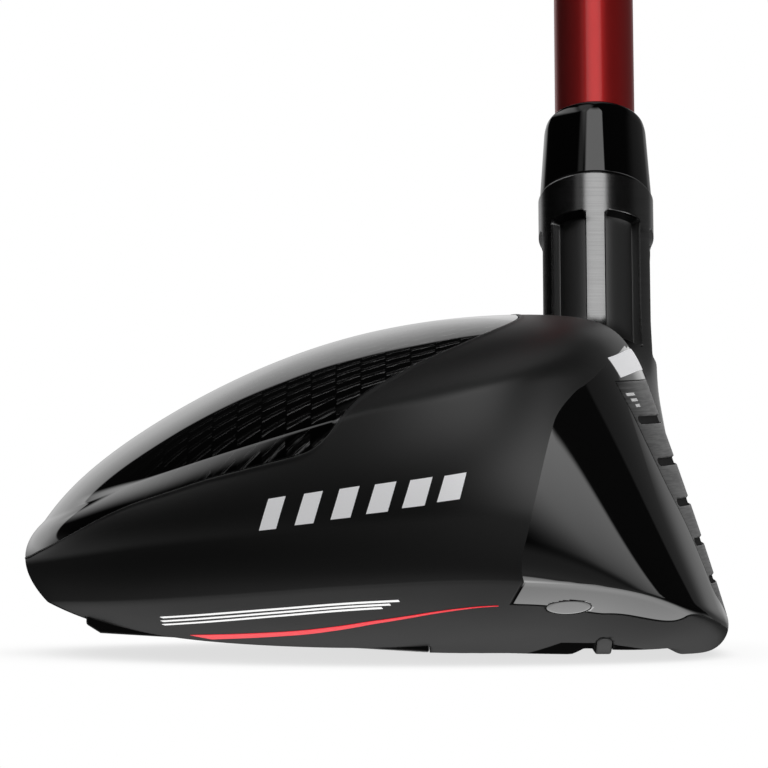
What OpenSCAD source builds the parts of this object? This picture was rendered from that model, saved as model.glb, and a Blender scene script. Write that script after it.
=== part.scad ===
// Hybrid golf club, right-handed, full length.
// Frame: +Z up, face looks along -Y, toe at -X, the shaft leans towards +X.
// The origin is the middle of the flat on the sole that rests on the ground.

/* [Club] */
// Lie angle between the shaft and the ground, degrees
lie = 59; // [56:0.5:62]
// Club length along the shaft, from the ground to the end of the grip cap
club_len = 1016; // [950:1:1060]
// Distance of the shaft axis in front of the origin
shaft_y = 8.5; // [8:0.1:9]
// Where the shaft axis would meet the ground, towards the heel
shaft_x = 27.2; // [26:0.1:28]

/* [Head] */
// Thickness of the cast steel wall
wall_t = 1.5; // [1.2:0.1:1.8]
// Thickness of the carbon crown panel
panel_t = 0.9; // [0.7:0.1:1.1]
// Thickness of the adhesive under the crown panel
glue_t = 0.15; // [0.1:0.05:0.2]
// Width of the ledge that carries the crown panel, as a share of the crown's radius
ledge_share = 0.12; // [0.08:0.01:0.16]
// Thickness of the face plate
face_t = 2.2; // [1.8:0.1:2.6]
// Depth of the score lines
score_depth = 0.45; // [0.3:0.05:0.6]
// Height of one score line
score_w = 0.9; // [0.7:0.1:1]
// Thickness of the cast steel sole
sole_t = 2.6; // [2.4:0.1:3]

/* [Hosel] */
// Outer radius of the hosel's top collar
collar_r = 6.75; // [6.6:0.05:6.9]
// Outer radius of the hosel's ribs
rib_r = 6.7; // [6.25:0.05:6.75]
// Radius at the bottom of the flutes
flute_r = 5.6; // [5.5:0.05:6.05]
// Number of flutes around the hosel
flutes = 6; // [4:1:8]
// Angle that one flute takes up, degrees
flute_angle = 46; // [40:1:50]
// Distance from the ground to the hosel's top, along the shaft
hosel_top = 59.9; // [59:0.1:61]
// Depth of the shaft bore
bore_depth = 28; // [26:1:30]

/* [Shaft and grip] */
// Radius of the parallel shaft tip
tip_r = 4.7; // [4.6:0.05:4.75]
// Radius of the shaft at its butt end
butt_r = 7.62; // [7.4:0.01:7.7]
// Length of the parallel tip section
tip_len = 90; // [75:1:120]
// Wall of the shaft at its tip
tip_wall = 1.5; // [1.2:0.1:1.8]
// Wall of the shaft at its butt
butt_wall = 1; // [0.8:0.1:1.2]
// Clearance filled by epoxy between the tip and the bore
epoxy_t = 0.1; // [0.05:0.01:0.12]
// Length of the ferrule
ferrule_len = 10.8; // [10:0.1:13]
// Length of the grip without its cap
grip_len = 264; // [250:1:275]
// Radius of the grip at its mouth
grip_mouth_r = 8.7; // [8.5:0.1:9]
// Radius of the grip at its butt
grip_butt_r = 13.2; // [12.8:0.1:13.6]
// Thickness of the grip cap
cap_t = 4; // [3:0.5:5]
// Radius of the vent hole in the grip cap
vent_r = 1.6; // [1.4:0.1:1.8]
// Thickness of the tape under the grip
tape_t = 0.25; // [0.2:0.05:0.3]

/* [Hidden] */
$fn = 64;
far = 200;
skin = 0.1;
eps = 0.01;

// ---------------------------------------------------------------- head surface
// The head is drawn by stations that go round it: face centre, toe, back, heel and back to the face.
// Each row holds the upper edge of the side wall, its widest point, its lower edge, and three shapes:
// how round the crown falls, how much of the sole's rise is steady, and the power of the rest.
UPPER = [0, 1, 2];
WIDEST = [3, 4, 5];
LOWER = [6, 7, 8];
CROWN_SHARE = 9;
SOLE_SHARE = 10;
SOLE_POWER = 11;
STEADY = 1.15;
STATIONS = [
    [0, -11.4, 34.4, 0, -17.3, 18.4, 0, -22.5, 2.5, 0.66, 0, 22],
    [-20, -10.6, 34.5, -20, -16.4, 18.5, -17, -21.6, 3.1, 0.66, 0.1, 9],
    [-37, -7.8, 33.4, -38.5, -12.4, 18.6, -31, -17.8, 5.2, 0.66, 0.2, 4.5],
    [-46, -1.5, 31.9, -49, -3.5, 17.5, -41.5, -9.5, 7.9, 0.7, 0.3, 2.8],
    [-49.5, 8, 29.8, -53.5, 8, 16, -46, 5, 9, 0.8, 0.3, 2.6],
    [-48, 20.5, 26.8, -52, 21, 14.6, -44.5, 19.5, 8.4, 0.85, 0.3, 2.6],
    [-41.5, 33, 23, -45.5, 34, 13.2, -38.5, 31.5, 7.4, 0.85, 0.3, 3.2],
    [-30, 44, 19.2, -33, 45.8, 12, -27.5, 43.5, 6.4, 0.85, 0.3, 4.5],
    [-14, 51.8, 15.9, -15.5, 54, 10.9, -13, 51.5, 5.9, 0.85, 0.3, 6],
    [3, 54.6, 14.6, 3, 56.7, 10.4, 3, 54.2, 5.6, 0.85, 0.3, 6],
    [19, 51.5, 15.6, 20.5, 53.6, 11, 18, 51, 6.1, 0.85, 0.3, 6],
    [32.5, 43, 19.2, 35.5, 44.8, 12.6, 31, 42.5, 7.2, 0.85, 0.3, 4.5],
    [42.5, 29.5, 23.5, 46, 30.5, 14.6, 40, 29, 8.4, 0.85, 0.3, 3.2],
    [49, 13, 27.5, 51.5, 13, 16.8, 43, 12.5, 8.9, 0.8, 0.3, 2.6],
    [51, -4.5, 29.5, 50, -5.5, 19, 41.5, -6.5, 8.2, 0.7, 0.3, 2.8],
    [40, -12.2, 32, 41, -16.4, 17.5, 32, -18.2, 5, 0.66, 0.2, 4.5],
    [20, -10.8, 33.7, 20, -16.6, 18.2, 17.5, -21.7, 2.9, 0.66, 0.1, 10]
];
CROWN_POLE = [-1, 16, 36.3];
CROWN_TILT = -0.2;
SOLE_POLE = [0, 4, -0.2];
EDGE_POWER = 12;
// Lines of the faceted head, closer together where the crown's seam turns.
TURNS = [4.66, 4.85, 4.98, 5.1, 5.2, 5.35, 12.66, 12.83, 12.98, 13.12];
LINES = concat([for (u = [0:1 / 3:4.4]) u], [for (i = [0:5]) TURNS[i]], [for (u = [17 / 3:1 / 3:12.4]) u],
    [for (i = [6:9]) TURNS[i]], [for (u = [40 / 3:1 / 3:16.9]) u]);

// Smooth closed curve through the stations' rows.
function row(i) = STATIONS[(i + 2 * len(STATIONS)) % len(STATIONS)];
function station(u) =
    let(i = floor(u), t = u - i, a = row(i - 1), b = row(i), c = row(i + 1), d = row(i + 2))
    0.5 * (2 * b + (c - a) * t + (2 * a - 5 * b + 4 * c - d) * t * t + (3 * b - a - 3 * c + d) * t * t * t);
function take(s, which) = [for (k = which) s[k]];

// Crown: r is 0 at the pole and 1 at the wall's upper edge.
function crown_point(s, r) =
    let(edge = take(s, UPPER), share = s[CROWN_SHARE], rise = CROWN_TILT * (edge.y - CROWN_POLE.y),
        fall = CROWN_POLE.z + rise - edge.z, bend = share * r * r + (1 - share) * pow(r, EDGE_POWER))
    [CROWN_POLE.x + (edge.x - CROWN_POLE.x) * r, CROWN_POLE.y + (edge.y - CROWN_POLE.y) * r,
        CROWN_POLE.z + rise * r - fall * bend];

// Wall: t is 0 at the upper edge, 1/2 at the widest point and 1 at the lower edge.
function wall_point(s, t) =
    let(a = take(s, UPPER), m = take(s, WIDEST), b = take(s, LOWER), q = 2 * m - (a + b) / 2)
    (1 - t) * (1 - t) * a + 2 * t * (1 - t) * q + t * t * b;

// Sole: r is 0 at its pole and 1 at the wall's lower edge. It never goes under the ground.
function sole_point(s, r) =
    let(edge = take(s, LOWER), k = s[SOLE_SHARE],
        bend = k * pow(r, STEADY) + (1 - k) * pow(r, s[SOLE_POWER]),
        z = SOLE_POLE.z + (edge.z - SOLE_POLE.z) * bend)
    [SOLE_POLE.x + (edge.x - SOLE_POLE.x) * r, SOLE_POLE.y + (edge.y - SOLE_POLE.y) * r, max(0, z)];

// The whole skin: v runs 0..1 over the crown, 1..2 down the wall and 2..3 under the sole.
function skin_point(u, v) =
    let(s = station(u))
    v <= 1 ? crown_point(s, v) : v <= 2 ? wall_point(s, v - 1) : sole_point(s, 3 - v);
function unit(p) = p / max(norm(p), 1e-9);
function skin_normal(u, v) =
    let(du = 0.05, dv = 0.03, w = min(max(v, dv + 0.02), 3 - dv - 0.02))
    unit(cross(skin_point(u + du, w) - skin_point(u - du, w),
        skin_point(u, w + dv) - skin_point(u, w - dv)));
// Point at a height above the skin, or below it when negative.
function lifted(u, v, h) = skin_point(u, v) + h * skin_normal(u, v);
// Seam of the crown panel: its place on the skin at a station.
SEAM = [[0, 0.5], [1.3, 0.555], [2.7, 0.65], [3.5, 0.705], [4, 0.755], [4.35, 0.8], [4.6, 0.86], [4.85, 0.915],
    [5, 0.965], [5.1, 1.035], [5.2, 1.085], [5.35, 1.105], [6.2, 1.11], [6.9, 1.15], [7.25, 1.205],
    [7.9, 1.375], [8.4, 1.46], [9, 1.48], [9.8, 1.43], [10.7, 1.24], [11.5, 1.14], [12.5, 1.11], [12.8, 1.08],
    [13, 0.98], [13.2, 0.9], [13.6, 0.81], [14.3, 0.68], [15, 0.58], [16, 0.52], [17, 0.5]];
function seam(u) = lookup(u, SEAM);

// Closed solid from rings of points, with a fan of triangles over both ends.
module rings_solid(rings) {
    n = len(rings[0]);
    m = len(rings);
    points = [for (r = rings) each r, [for (k = [0:2]) sum_of([for (p = rings[0]) p[k]]) / n],
        [for (k = [0:2]) sum_of([for (p = rings[m - 1]) p[k]]) / n]];
    sides = [for (j = [0:m - 2], i = [0:n - 1])
        let(a = j * n + i, b = j * n + (i + 1) % n, c = b + n, d = a + n)
        each [[a, b, c], [a, c, d]]];
    first = [for (i = [0:n - 1]) [(i + 1) % n, i, m * n]];
    last = [for (i = [0:n - 1]) [(m - 1) * n + i, (m - 1) * n + (i + 1) % n, m * n + 1]];
    polyhedron(points = points, faces = concat(sides, first, last), convexity = 10);
}
function sum_of(list, i = 0) = i < len(list) ? list[i] + sum_of(list, i + 1) : 0;

// Thin patch that follows the skin: rows of [u, v] pairs, between two heights.
module patch_solid(grid, low, high) {
    rows = len(grid);
    cols = len(grid[0]);
    count = rows * cols;
    points = [for (h = [high, low], line = grid, q = line) lifted(q[0], q[1], h + (h == high ? q[2] : 0))];
    top = [for (j = [0:rows - 2], i = [0:cols - 2])
        let(a = j * cols + i) each [[a, a + cols + 1, a + 1], [a, a + cols, a + cols + 1]]];
    bottom = [for (f = top) [f[2] + count, f[1] + count, f[0] + count]];
    rim = concat([for (i = [0:cols - 1]) i], [for (j = [1:rows - 1]) j * cols + cols - 1],
        [for (i = [cols - 2:-1:0]) (rows - 1) * cols + i], [for (j = [rows - 2:-1:1]) j * cols]);
    side = [for (k = [0:len(rim) - 1])
        let(a = rim[k], b = rim[(k + 1) % len(rim)]) each [[a, b, b + count], [a, b + count, a + count]]];
    polyhedron(points = points, faces = concat(top, bottom, side), convexity = 6);
}
// Grid of [u, v, 0] between two corners of the skin.
function patch_grid(u0, u1, v0, v1, nu, nv) =
    [for (j = [0:nv]) [for (i = [0:nu]) [u0 + (u1 - u0) * i / nu, v0 + (v1 - v0) * j / nv, 0]]];
// Four-sided patch between four corners given as [u, v], such as a slanted bar.
function quad_grid(p00, p10, p11, p01, nu, nv) =
    [for (j = [0:nv]) [for (i = [0:nu])
        let(a = i / nu, b = j / nv, low = p00 + (p10 - p00) * a, high = p01 + (p11 - p01) * a)
        concat(low + (high - low) * b, [0])]];

// ---------------------------------------------------------------- head parts
function ring(h, v) = [for (u = LINES) lifted(u, v, h)];
function seam_ring(h, share) = [for (u = LINES) lifted(u, seam(u) * share, h)];
// Rings from the seam to the wall, evenly shared.
function shoulder_ring(h, k) = [for (u = LINES) let(s = seam(u))
    lifted(u, s + (max(1.3, s + 0.1) - s) * k, h)];
// Rings inside the head, from the seam to the inner wall.
function inner_shoulder(k) = [for (u = LINES) let(s = seam(u))
    lifted(u, s + (max(1.4, s + 0.15) - s) * k, ledge_h - 1 + (ledge_h + 1 + wall_t) * k)];
wall_steps = [1.62, 1.8, 2];
sole_steps = [2.04, 2.1, 2.2, 2.35, 2.55, 2.75, 2.88, 2.96];
inner_wall = [1.55, 1.7, 1.9];
inner_sole = [2.12, 2.3, 2.6, 2.85];
ledge_h = -panel_t - glue_t;
// The bead of adhesive lies between these shares of the crown panel.
bead_in = 1.02 - ledge_share;
bead_out = 0.97;

// Steps on to the shaft's line; s is the distance from the ground.
module along_shaft(s) {
    translate([shaft_x, -shaft_y, 0]) rotate([0, 90 - lie, 0]) translate([0, 0, s]) children();
}

module shell() {
    inner_h = ledge_h - 1;
    rings_solid(concat(
        [for (k = [len(sole_steps) - 1:-1:0]) ring(0, sole_steps[k])],
        [for (k = [len(wall_steps) - 1:-1:0]) ring(0, wall_steps[k])],
        [for (k = [1, 0.5, 0.2]) shoulder_ring(0, k)],
        [seam_ring(0, 1), seam_ring(ledge_h, 1 - eps), seam_ring(ledge_h, 1 - ledge_share)],
        [seam_ring(inner_h, 1 - ledge_share), seam_ring(inner_h, 1)],
        [for (k = [0.4, 0.75]) inner_shoulder(k)],
        [for (v = inner_wall) ring(-wall_t, v)],
        [for (v = inner_sole) ring(-sole_t, v)]
    ));
}

// Hosel: collar, ribs and a flare that runs into the heel.
flare_top = 44;
flare_low = 30;
flare_r = 7.4;
step_low = 52.7;
step_high = 54;
hosel_foot = 27;
module hosel_solid() {
    along_shaft(0) rotate_extrude()
        polygon(concat([[0, hosel_foot], [rib_r, hosel_foot], [flare_r, flare_low]],
            [for (a = [0.25, 0.5, 0.75]) [rib_r + (flare_r - rib_r) * pow(1 - a, 2),
                flare_low + (flare_top - flare_low) * a]],
            [[rib_r, flare_top], [rib_r, step_low], [collar_r, step_high], [collar_r, hosel_top - 0.2],
                [collar_r - 0.2, hosel_top], [0, hosel_top]]));
}
flute_top = 54.7;
flute_low = 37;
module flute_cuts() {
    for (k = [0:flutes - 1])
        along_shaft(flute_low) rotate([0, 0, k * 360 / flutes + 180 + 180 / flutes - flute_angle / 2])
            rotate_extrude(angle = flute_angle)
                translate([flute_r, 0]) square([4, flute_top - flute_low]);
}

// Channel across the sole, the slot in its floor, and the pocket for the keel plate.
channel_z = 0.85;
channel_len = 84;
module sole_channel() {
    rotate([90, 0, 90]) linear_extrude(height = channel_len, center = true)
        polygon([[-16.4, -0.6], [-14.3, channel_z], [-6.9, channel_z], [-4.6, -0.6]]);
}
slot_len = 50;
slot_w = 1.8;
slot_y = -7.9;
module slot_bar(gap, low, high) {
    for (x = [-1, 1]) translate([x * (slot_len - slot_w) / 2, slot_y, low])
        cylinder(r = slot_w / 2 - gap, h = high - low);
    translate([-(slot_len - slot_w) / 2, slot_y - slot_w / 2 + gap, low])
        cube([slot_len - slot_w, slot_w - 2 * gap, high - low]);
}
keel_back = 49.6;
keel_front = 11.4;
keel_slope = 0.0587;
keel_front_w = 34;
keel_back_w = 15;
keel_t = 1.6;
function keel_z(y) = 0.1 + (y - keel_front) * keel_slope;
module keel_wedge(grow) {
    intersection() {
        rotate([90, 0, 90]) linear_extrude(height = far, center = true)
            polygon([[keel_front - grow, keel_z(keel_front)],
                [keel_back - 1.6 + grow, keel_z(keel_back - 1.6)],
                [keel_back + grow, keel_z(keel_back) + 0.9],
                [keel_back + grow, keel_z(keel_back) + keel_t + 1.2 + grow],
                [keel_front - grow, keel_z(keel_front) + keel_t + grow]]);
        translate([0, 0, -far / 2]) linear_extrude(height = far)
            polygon([[-keel_front_w / 2 - grow, keel_front - grow],
                [keel_front_w / 2 + grow, keel_front - grow],
                [keel_back_w / 2 + grow, keel_back + grow], [-keel_back_w / 2 - grow, keel_back + grow]]);
    }
}

// Plug in the toe side of the sole, square to the skin.
plug_r = 2.45;
plug_len = 4;
plug_u = 3.34;
plug_v = 2.15;
module at_plug() {
    n = skin_normal(plug_u, plug_v);
    translate(skin_point(plug_u, plug_v)) rotate([0, acos(n.z), atan2(n.y, n.x)]) children();
}

// Face: a border of stations on the heel side and on the toe side, between two heights.
face_low = 4.2;
face_high = 30.8;
FACE_TOE = [[4, 0.5], [7, 1.1], [11.2, 1.22], [15, 1.34], [19.1, 1.55], [23.5, 1.7], [27.7, 1.83], [31, 2]];
FACE_HEEL = [[4, -0.7], [10, -1.2], [31, -1.5]];
score_z = [26.3, 21.7, 17.2, 12.8, 8.6];
// Station and wall share of a point on the face, from its share across and its height.
function face_uv(a, z, h) =
    let(low = lookup(z, FACE_HEEL), u = low + (lookup(z, FACE_TOE) - low) * a, s = station(u),
        t = (s[2] - z) / (s[2] - s[8]))
    [u, 1 + min(max(t, 0.02), 0.98), h];
function in_score(a, z) = a > 0.04 && a < 0.97
    && len([for (c = score_z) if (abs(z - c) < score_w / 2) 1]) > 0;
face_across = concat([0, 0.035, 0.05], [for (i = [1:7]) 0.05 + i * 0.91 / 8], [0.96, 0.975, 1]);
face_levels = concat([face_high], [for (c = score_z) each [c + score_w / 2 + 0.15, c + score_w / 2 - 0.05,
    c - score_w / 2 + 0.05, c - score_w / 2 - 0.15]], [face_low]);
function face_grid(cut, across, levels) = [for (z = levels) [for (a = across)
    face_uv(a, z, cut && in_score(a, z) ? -score_depth : 0)]];

module head_body() {
    color([0.09, 0.09, 0.095])
        difference() {
            union() {
                shell();
                hosel_solid();
            }
            patch_solid(face_grid(false, [0, 0.15, 0.3, 0.45, 0.6, 0.75, 0.9, 1],
                [face_high, 26, 20, 14, 9, face_low]), -3.4, 1);
            flute_cuts();
            along_shaft(hosel_top - bore_depth) cylinder(r = tip_r + epoxy_t, h = bore_depth + 1);
            sole_channel();
            slot_bar(0, -1, 4);
            for (drop = [0, 1]) translate([0, 0, -drop]) keel_wedge(0.05);
            at_plug() translate([0, 0, -plug_len - 1]) cylinder(r = plug_r + 0.05, h = plug_len + 2);
        }
}

module face_plate() {
    color([0.22, 0.22, 0.23])
        patch_solid(face_grid(true, face_across, face_levels), -face_t, 0);
}

module crown_panel() {
    color([0.03, 0.03, 0.033])
        rings_solid(concat(
            [for (k = [0.12, 0.3, 0.5, 0.7, 0.82, bead_in, bead_out]) seam_ring(-panel_t, k)],
            [seam_ring(-panel_t, 1 - 2 * eps), seam_ring(0, 1 - 2 * eps)],
            [for (k = [0.95, 0.88, 0.8, 0.7, 0.55, 0.4, 0.25, 0.12]) seam_ring(0, k)]));
}

// Bead of adhesive on the ledge.
module crown_adhesive() {
    low = ledge_h;
    high = -panel_t;
    loops = [seam_ring(high, bead_in), seam_ring(high, bead_out),
        seam_ring(low, bead_out), seam_ring(low, bead_in)];
    n = len(LINES);
    color([0.75, 0.72, 0.6])
        polyhedron(points = [for (l = loops) each l],
            faces = [for (j = [0:3], i = [0:n - 1])
                let(next = (i + 1) % n, far_loop = (j + 1) % 4 * n,
                    a = j * n + i, b = j * n + next, c = far_loop + next, d = far_loop + i)
                each [[a, c, b], [a, d, c]]], convexity = 10);
}

module toe_plug() {
    color([0.05, 0.05, 0.05])
        at_plug() translate([0, 0, -plug_len]) cylinder(r = plug_r, h = plug_len);
}

// Insert in the slot: its underside follows the rocker of the sole, and a flange keeps it in from inside.
insert_low = 0.15;
rocker_flat = 9;
rocker = 0.0088;
flange_z = 3.5;
flange_t = 1;
flange_len = 30;
flange_lip = 0.8;
function rocker_z(x) = max(insert_low, rocker * pow(max(abs(x) - rocker_flat, 0), 2));
module slot_insert() {
    half = slot_len / 2;
    color([0.02, 0.02, 0.02]) {
        intersection() {
            slot_bar(0.05, 0, flange_z + flange_t / 2);
            rotate([90, 0, 0]) linear_extrude(height = far, center = true)
                polygon(concat([for (x = [-half:2.5:half]) [x, rocker_z(x)]], [[half, far], [-half, far]]));
        }
        translate([-flange_len / 2, slot_y - slot_w / 2 - flange_lip, flange_z])
            cube([flange_len, slot_w + 2 * flange_lip, flange_t]);
    }
}

module keel_plate() {
    color([0.06, 0.06, 0.06]) keel_wedge(0);
}

// Tungsten weight bonded inside, over the keel plate.
weight_r = 8;
weight_z = 4.9;
module rear_weight() {
    color([0.45, 0.45, 0.47])
        translate([0, 31, weight_z]) {
            cylinder(r = weight_r, h = 4);
            translate([0, 0, 4]) cylinder(r1 = weight_r, r2 = weight_r - 0.6, h = 0.6);
        }
}

// Sticky pool that quietens the head, behind the toe port.
melt_r = 8.5;
melt_h = 2.4;
module hot_melt() {
    color([0.85, 0.7, 0.35])
        translate([-15, 2, 4.4]) rotate_extrude()
            polygon([[0, 0], for (a = [0:15:90]) [melt_r * cos(a), melt_h * sin(a)]]);
}

module topline_strip() {
    color([0.75, 0.75, 0.76])
        patch_solid(quad_grid([-1.4, 1.015], [1.94, 1.015], [1.82, 1.09], [-1.4, 1.09], 16, 2),
            0.01, 0.01 + skin);
}

// Painted bars that lean towards the face, each narrower than the last.
module side_graphic() {
    count = 6;
    color([0.8, 0.8, 0.8])
        for (k = [0:count - 1]) {
            u0 = 3.93 + k * 0.305;
            w = 0.21 - 0.012 * k;
            lean = 0.07;
            patch_solid(quad_grid([u0, 1.3 - 0.004 * k], [u0 + w, 1.3 - 0.004 * k],
                [u0 + w + lean, 1.41 + 0.008 * k], [u0 + lean, 1.41 + 0.008 * k], 2, 3), 0.01, 0.01 + skin);
        }
}

module sole_graphic() {
    color([0.92, 0.92, 0.92])
        for (k = [0:2])
            patch_solid(quad_grid([4.75 + 0.1 * k, 2.1 + 0.022 * k], [7.1 + 0.1 * k, 2.085 + 0.022 * k],
                [7.1 + 0.1 * k, 2.093 + 0.022 * k], [4.75 + 0.1 * k, 2.112 + 0.022 * k], 12, 1),
                0.01, 0.01 + skin);
}

STRIPE = [[3.95, 2.155], [4.4, 2.195], [4.9, 2.245], [5.6, 2.28], [6.2, 2.29], [7.5, 2.25]];
module sole_stripe() {
    color([0.85, 0.06, 0.12])
        patch_solid([for (j = [0:1]) [for (i = [0:14])
            let(u = 3.95 + i * 0.25, w = 0.008 + 0.0035 * i) [u, lookup(u, STRIPE) + w * (j - 0.5), 0]]],
            0.01, 0.01 + skin);
}

// Small etched bars at the toe end of the face.
module face_marks() {
    color([0.8, 0.8, 0.8])
        for (k = [0:4])
            patch_solid([for (z = [29.5, 28]) [for (a = [0.9, 0.908]) face_uv(a + 0.016 * k, z, 0)]],
                0.01, 0.01 + skin / 2);
}

// ---------------------------------------------------------------- shaft and grip
tip_low = hosel_top - bore_depth + 0.3;
shaft_top = club_len - cap_t;
tip_top = hosel_top - bore_depth + tip_len;
grip_low = shaft_top - grip_len;
function shaft_r(s) = s < tip_top ? tip_r : tip_r + (butt_r - tip_r) * (s - tip_top) / (shaft_top - tip_top);
function tube_r(s) =
    shaft_r(s) - tip_wall + (tip_wall - butt_wall) * max(0, s - tip_top) / (shaft_top - tip_top);

module ferrule() {
    shoulder = ferrule_len - 0.95;
    color([0.02, 0.02, 0.02])
        along_shaft(hosel_top + 0.05) rotate_extrude($fn = 96)
            polygon(concat([[tip_r + 0.03, 0], [6.35, 0], [6.55, 0.2], [5.95, shoulder - 0.5]],
                [for (a = [0:15:90]) [4.95 + 0.95 * cos(a), shoulder + 0.9 * sin(a)]],
                [[tip_r + 0.03, ferrule_len - 0.05]]));
}

module shaft() {
    color([0.6, 0.05, 0.06])
        along_shaft(0) rotate_extrude($fn = 96)
            polygon([[tube_r(tip_low), tip_low], [tip_r - 0.3, tip_low], [tip_r, tip_low + 0.6],
                [tip_r, tip_top], [butt_r, shaft_top - 0.3], [tube_r(shaft_top), shaft_top - 0.3],
                [tube_r(tip_top), tip_top]]);
}

module tip_epoxy() {
    color([0.8, 0.75, 0.55])
        along_shaft(tip_low + 1) difference() {
            cylinder(r = tip_r + epoxy_t, h = bore_depth - 1.4);
            translate([0, 0, -1]) cylinder(r = tip_r, h = bore_depth + 1);
        }
}

module tip_weight() {
    color([0.72, 0.55, 0.25])
        along_shaft(tip_low + 0.4) {
            cylinder(r = tube_r(tip_low) - 0.03, h = 16);
            translate([0, 0, 16]) cylinder(r1 = tube_r(tip_low) - 0.03, r2 = 1.6, h = 3);
        }
}

// Rings of paint round the shaft, below the grip.
band_s = [[640, 12], [657, 3], [664, 3]];
module shaft_bands() {
    color([0.82, 0.82, 0.82])
        for (b = band_s)
            along_shaft(0) rotate_extrude($fn = 96)
                polygon([[shaft_r(b[0]) + eps, b[0]], [shaft_r(b[0]) + skin, b[0]],
                    [shaft_r(b[0] + b[1]) + skin, b[0] + b[1]], [shaft_r(b[0] + b[1]) + eps, b[0] + b[1]]]);
}

module grip_tape() {
    low = grip_low + 6;
    color([0.9, 0.88, 0.8])
        along_shaft(0) rotate_extrude($fn = 96)
            polygon([[shaft_r(low) + eps, low], [shaft_r(low) + tape_t, low],
                [butt_r + tape_t, shaft_top - 0.4], [butt_r + eps, shaft_top - 0.4]]);
}

// Grip: a rounded mouth, a long taper with grooves round it, and a flare at the butt.
groove_d = 0.6;
groove_w = 1.6;
taper_r = 11.5;
taper_end = 212;
function grip_r(s) = s < taper_end ? grip_mouth_r + (taper_r - grip_mouth_r) * s / taper_end
    : taper_r + (grip_butt_r - taper_r) * pow((s - taper_end) / (grip_len - taper_end), 1.6);
groove_at = [12, 18, 70, 128, 186];
module grip() {
    bore = tape_t + 2 * eps;
    color([0.04, 0.04, 0.042])
        along_shaft(grip_low) rotate_extrude($fn = 96)
            polygon(concat(
                [[shaft_r(grip_low) + bore, 0], [grip_mouth_r - 0.9, 0], [grip_mouth_r - 0.25, 0.4],
                    [grip_r(1.4), 1.4]],
                [for (g = groove_at) each [[grip_r(g), g], [grip_r(g) - groove_d, g + 0.4],
                    [grip_r(g) - groove_d, g + groove_w - 0.4], [grip_r(g + groove_w), g + groove_w]]],
                [for (s = [taper_end:13:grip_len]) [grip_r(s), s]],
                [[butt_r + bore, grip_len]]));
}

module grip_cap() {
    color([0.05, 0.05, 0.05])
        along_shaft(shaft_top) difference() {
            rotate_extrude($fn = 96)
                polygon([[0, 0], [grip_butt_r - 0.35, 0], [grip_butt_r, 0.4], [grip_butt_r, 1.4],
                    [grip_butt_r - 0.7, 2.8], [grip_butt_r - 3, 3.7], [grip_butt_r - 6, cap_t], [0, cap_t]]);
            translate([0, 0, -1]) cylinder(r = vent_r, h = cap_t + 2);
        }
}

// Paint in the two grooves next to the grip's mouth.
module grip_marks() {
    color([0.85, 0.1, 0.12])
        for (g = [groove_at[0], groove_at[1]])
            along_shaft(grip_low + g + 0.45) rotate_extrude($fn = 96)
                translate([grip_r(g) - groove_d + eps, 0]) square([0.25, groove_w - 0.9]);
}

head_body();
face_plate();
crown_panel();
crown_adhesive();
toe_plug();
slot_insert();
keel_plate();
rear_weight();
hot_melt();
topline_strip();
side_graphic();
sole_graphic();
sole_stripe();
face_marks();
ferrule();
shaft();
tip_epoxy();
tip_weight();
shaft_bands();
grip_tape();
grip();
grip_cap();
grip_marks();
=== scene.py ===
"""Looks of the hybrid golf club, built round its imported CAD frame. Shapes are worked out in millimetres."""

import math

import bmesh
import bpy
import numpy as np
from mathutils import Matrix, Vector
from mathutils.bvhtree import BVHTree


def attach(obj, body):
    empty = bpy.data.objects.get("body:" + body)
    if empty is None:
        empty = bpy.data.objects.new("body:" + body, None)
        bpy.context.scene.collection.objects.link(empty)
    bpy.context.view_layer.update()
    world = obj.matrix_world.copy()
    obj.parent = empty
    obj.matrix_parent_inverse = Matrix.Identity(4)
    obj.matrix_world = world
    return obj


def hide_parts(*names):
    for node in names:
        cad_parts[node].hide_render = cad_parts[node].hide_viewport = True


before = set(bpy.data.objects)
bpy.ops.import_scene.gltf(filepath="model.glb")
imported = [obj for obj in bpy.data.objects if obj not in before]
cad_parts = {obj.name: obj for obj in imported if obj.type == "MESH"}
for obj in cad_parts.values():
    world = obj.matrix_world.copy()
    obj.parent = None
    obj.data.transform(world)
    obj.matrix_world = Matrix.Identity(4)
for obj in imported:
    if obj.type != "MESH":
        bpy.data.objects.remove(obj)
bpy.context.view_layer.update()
MM = 0.001
DENSE = 2

# ---- driving sizes, as in the CAD
# Where the shaft's axis meets the ground, and directions along it, to its toe side and to its face side.
LIE = math.radians(59)
SHAFT_FOOT = np.array([27.2, -8.5, 0.0])
SHAFT_DIR = np.array([math.cos(LIE), 0, math.sin(LIE)])
TOEWARD = np.array([-math.sin(LIE), 0, math.cos(LIE)])
FACEWARD = np.array([0, -1.0, 0])
# Thickness of the side wall, the sole and the crown panel.
WALL, SOLE_WALL, PANEL = 1.5, 2.6, 0.9
# Hosel: radii, places along the shaft's axis, and the flutes' number, half width and turn in degrees.
COLLAR_R, RIB_R, FLUTE_R = 6.75, 6.7, 5.6
HOSEL_TOP, FLUTE_TOP, FLUTE_LOW = 59.9, 54.7, 37.0
STEP_LOW, STEP_HIGH = 52.7, 54.0
FLUTES, FLUTE_HALF, FLUTE_TURN = 6, 20.8, 2.0
FLUTE_SLOPE, FLUTE_CORNER = 0.28, 0.55
# Shaft, ferrule and grip.
TIP_R, BUTT_R, CAP_T, CLUB_LEN = 4.7, 7.62, 4.0, 1016.0
BORE_DEPTH, TIP_LEN, FERRULE_LEN, GRIP_LEN = 28.0, 90.0, 10.8, 264.0

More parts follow.
